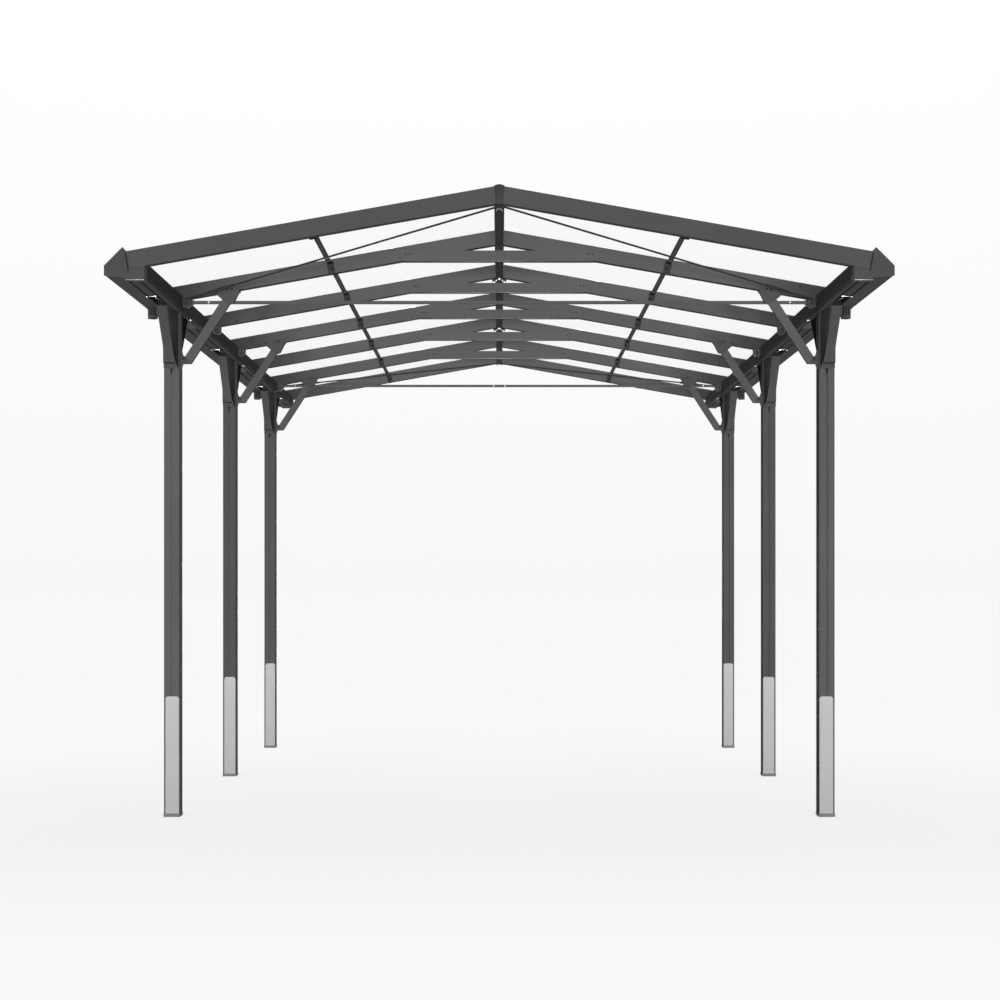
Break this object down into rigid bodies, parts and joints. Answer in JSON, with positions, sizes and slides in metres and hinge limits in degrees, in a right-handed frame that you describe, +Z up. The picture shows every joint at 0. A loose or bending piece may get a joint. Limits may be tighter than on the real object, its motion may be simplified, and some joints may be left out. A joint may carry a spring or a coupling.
{
  "type": "carport",
  "caption": "Free-standing gable carport: square posts, eave beams with gutters, braced rafters and clear multiwall roof panels over an open parking bay.",
  "frame": {"origin": "middle of the ground area between the posts, on the ground", "axes": "+X to the right seen from the front, +Y along the parking bay towards the rear, +Z up"},
  "size_m": [3.62, 5.02, 3.0204],
  "materials": {
    "frame_grey": "matt powder coat on extruded aluminium",
    "steel_grey": "matt powder coat on steel",
    "moulded_grey": "fine-grained moulding",
    "guard_grey": "soft light grey bumper",
    "foot_grey": "matt moulding",
    "clear_panel": "clear multiwall sheet"
  },
  "bodies": {
    "root": {"brace_feet_left": "moulded_grey", "brace_feet_right": "moulded_grey", "brace_shoes_left": "moulded_grey", "brace_shoes_right": "moulded_grey", "channel_covers_left": "frame_grey", "channel_covers_right": "frame_grey", "collar_ties": "frame_grey", "cover_strips_left": "frame_grey", "cover_strips_right": "frame_grey", "eave_beam_left": "frame_grey", "eave_beam_right": "frame_grey", "gutter_end_caps_front": "moulded_grey", "gutter_end_caps_rear": "moulded_grey", "gutter_front_left": "frame_grey", "gutter_front_right": "frame_grey", "gutter_outlets_left": "moulded_grey", "gutter_outlets_right": "moulded_grey", "gutter_rear_left": "frame_grey", "gutter_rear_right": "frame_grey", "knee_braces_front": "frame_grey", "knee_braces_middle": "frame_grey", "knee_braces_rear": "frame_grey", "post_feet_left": "foot_grey", "post_feet_right": "foot_grey", "post_front_left": "frame_grey", "post_front_right": "frame_grey", "post_guards_left": "guard_grey", "post_guards_right": "guard_grey", "post_head_brackets_left": "moulded_grey", "post_head_brackets_right": "moulded_grey", "post_middle_left": "frame_grey", "post_middle_right": "frame_grey", "post_rear_left": "frame_grey", "post_rear_right": "frame_grey", "purlin_clips_left": "steel_grey", "purlin_clips_right": "steel_grey", "purlins_left": "frame_grey", "purlins_right": "frame_grey", "rafter_pair_1": "frame_grey", "rafter_pair_2": "frame_grey", "rafter_pair_3": "frame_grey", "rafter_pair_4": "frame_grey", "rafter_pair_5": "frame_grey", "rafter_pair_6": "frame_grey", "rafter_pair_7": "frame_grey", "rafter_seats_left": "moulded_grey", "rafter_seats_right": "moulded_grey", "ridge_beam": "frame_grey", "ridge_cap": "frame_grey", "ridge_end_caps": "moulded_grey", "ridge_hangers": "steel_grey", "roof_panels_left": "clear_panel", "roof_panels_right": "clear_panel", "tie_rod_front": "steel_grey", "tie_rod_rear": "steel_grey", "wind_brace_lugs": "steel_grey", "wind_braces_front": "steel_grey", "wind_braces_rear": "steel_grey"}
  },
  "joints": []
}
